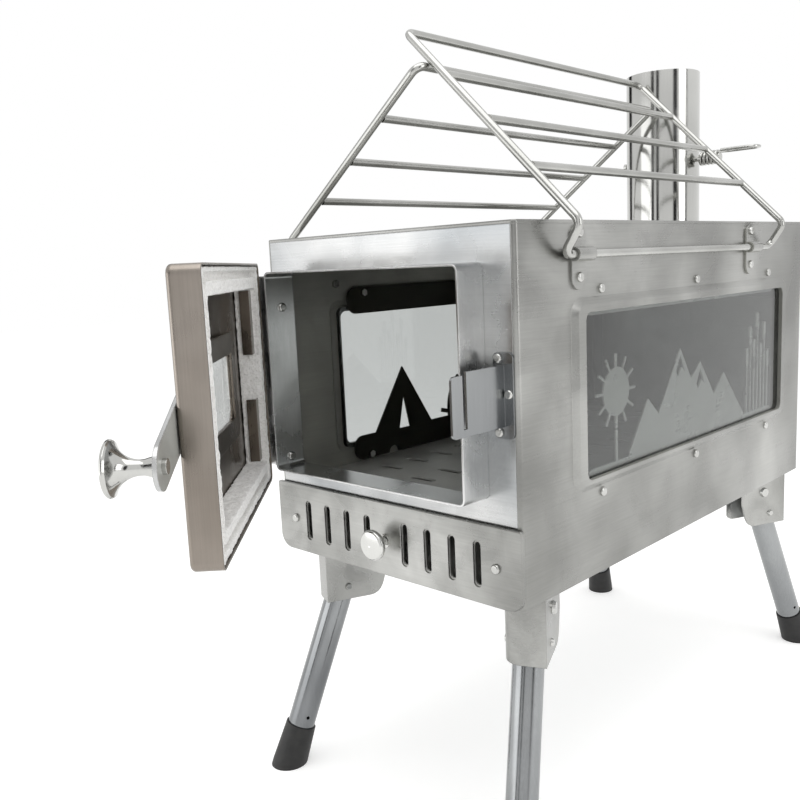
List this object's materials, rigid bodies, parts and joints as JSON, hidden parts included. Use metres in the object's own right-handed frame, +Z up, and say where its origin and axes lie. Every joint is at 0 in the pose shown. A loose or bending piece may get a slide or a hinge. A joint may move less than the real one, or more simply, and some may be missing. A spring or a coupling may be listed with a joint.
{
  "type": "folding camping wood stove",
  "caption": "Sheet steel camping stove with glazed sides and door, ash drawer, folding wire racks, splayed folding legs and a damped flue.",
  "frame": {"origin": "on the ground under the middle of the firebox", "axes": "+Z up out of the cooktop, -Y out of the door, +X to the right seen from the front"},
  "size_m": [0.2323, 0.6282, 0.497],
  "materials": {
    "casing_steel": "satin brushed stainless sheet",
    "inner_steel": "heat-dulled stainless sheet",
    "polished_steel": "polished stainless",
    "wire_steel": "polished stainless wire",
    "window_glass": "clear ceramic glass",
    "gasket_fibre": "woven ceramic fibre",
    "foot_rubber": "matt black rubber"
  },
  "bodies": {
    "stove": {"side_panel_right": "casing_steel", "side_panel_left": "casing_steel", "front_panel": "casing_steel", "door_collar": "casing_steel", "rear_panel": "casing_steel", "cook_top": "casing_steel", "floor_plate": "casing_steel", "fire_grate": "inner_steel", "grate_rails": "inner_steel", "window_glass_right": "window_glass", "window_glass_left": "window_glass", "window_clamp_right": "inner_steel", "window_clamp_left": "inner_steel", "window_scene_right": "inner_steel", "window_scene_left": "inner_steel", "window_spacers": "inner_steel", "window_screws": "polished_steel", "hinge_leaf": "casing_steel", "hinge_pin": "polished_steel", "hinge_screws": "polished_steel", "latch_keeper": "casing_steel", "keeper_rivets": "polished_steel", "flue_spigot": "casing_steel", "rack_brackets": "casing_steel", "rack_screws": "polished_steel", "leg_brackets": "casing_steel", "leg_pins": "polished_steel", "leg_detents": "polished_steel"},
    "door": {"door_shell": "casing_steel", "door_glass": "window_glass", "door_glass_frame": "casing_steel", "door_gasket": "gasket_fibre", "gasket_retainers": "casing_steel", "door_knuckles": "casing_steel", "lever_pivot_screw": "polished_steel"},
    "latch": {"latch_lever": "casing_steel", "latch_knob": "polished_steel", "latch_knob_screw": "polished_steel"},
    "drawer": {"ash_tray": "inner_steel", "ash_tray_front": "inner_steel", "drawer_front": "casing_steel", "drawer_screws": "polished_steel", "drawer_knob": "polished_steel"},
    "rack_right": {"rack_frame_right": "wire_steel", "rack_bars_right": "wire_steel"},
    "rack_left": {"rack_frame_left": "wire_steel", "rack_bars_left": "wire_steel"},
    "flue": {"flue_pipe": "polished_steel"},
    "damper": {"damper_plate": "inner_steel", "damper_shaft": "polished_steel", "damper_handle": "wire_steel"},
    "leg_front_right": {"leg_tube_front_right": "polished_steel", "leg_foot_front_right": "foot_rubber"},
    "leg_front_left": {"leg_tube_front_left": "polished_steel", "leg_foot_front_left": "foot_rubber"},
    "leg_rear_right": {"leg_tube_rear_right": "polished_steel", "leg_foot_rear_right": "foot_rubber"},
    "leg_rear_left": {"leg_tube_rear_left": "polished_steel", "leg_foot_rear_left": "foot_rubber"}
  },
  "joints": [
    {"name": "door_hinge", "type": "hinge", "parent": "stove", "child": "door", "pos_m": [-0.09315, -0.2251, 0.2832], "axis": [0, 0, -1], "range_deg": [-45, 60]},
    {"name": "latch_pivot", "type": "hinge", "parent": "door", "child": "latch", "pos_m": [0.00938, -0.3388, 0.2885], "axis": [-0.7071, -0.7071, 0], "range_deg": [0, 60]},
    {"name": "drawer_slide", "type": "slide", "parent": "stove", "child": "drawer", "axis": [0, -1, 0], "range_m": [0, 0.33]},
    {"name": "rack_right_fold", "type": "hinge", "parent": "stove", "child": "rack_right", "pos_m": [0.1055, -0.022, 0.3502], "axis": [0, 1, 0], "range_deg": [0, 135]},
    {"name": "rack_left_fold", "type": "hinge", "parent": "stove", "child": "rack_left", "pos_m": [-0.1055, -0.03, 0.3502], "axis": [0, -1, 0], "range_deg": [0, 142.9]},
    {"name": "leg_front_right_fold", "type": "hinge", "parent": "stove", "child": "leg_front_right", "pos_m": [0.0785, -0.1618, 0.146], "axis": [0.9135, 0.4067, 0], "range_deg": [0, 110.4]},
    {"name": "leg_front_left_fold", "type": "hinge", "parent": "stove", "child": "leg_front_left", "pos_m": [-0.0785, -0.1618, 0.146], "axis": [0.9135, -0.4067, 0], "range_deg": [0, 110.4]},
    {"name": "leg_rear_right_fold", "type": "hinge", "parent": "stove", "child": "leg_rear_right", "pos_m": [0.0785, 0.1618, 0.146], "axis": [-0.9135, 0.4067, 0], "range_deg": [0, 110.4]},
    {"name": "leg_rear_left_fold", "type": "hinge", "parent": "stove", "child": "leg_rear_left", "pos_m": [-0.0785, 0.1618, 0.146], "axis": [-0.9135, -0.4067, 0], "range_deg": [0, 110.4]},
    {"name": "flue_lift", "type": "slide", "parent": "stove", "child": "flue", "axis": [0, 0, 1], "range_m": [0, 0.04]},
    {"name": "damper_turn", "type": "hinge", "parent": "flue", "child": "damper", "pos_m": [0, 0.154, 0.425], "axis": [1, 0, 0], "range_deg": [0, 90]}
  ],
  "couplings": [
    {"joint": "rack_left_fold", "follows": "rack_right_fold", "ratio": 1.0585}
  ]
}
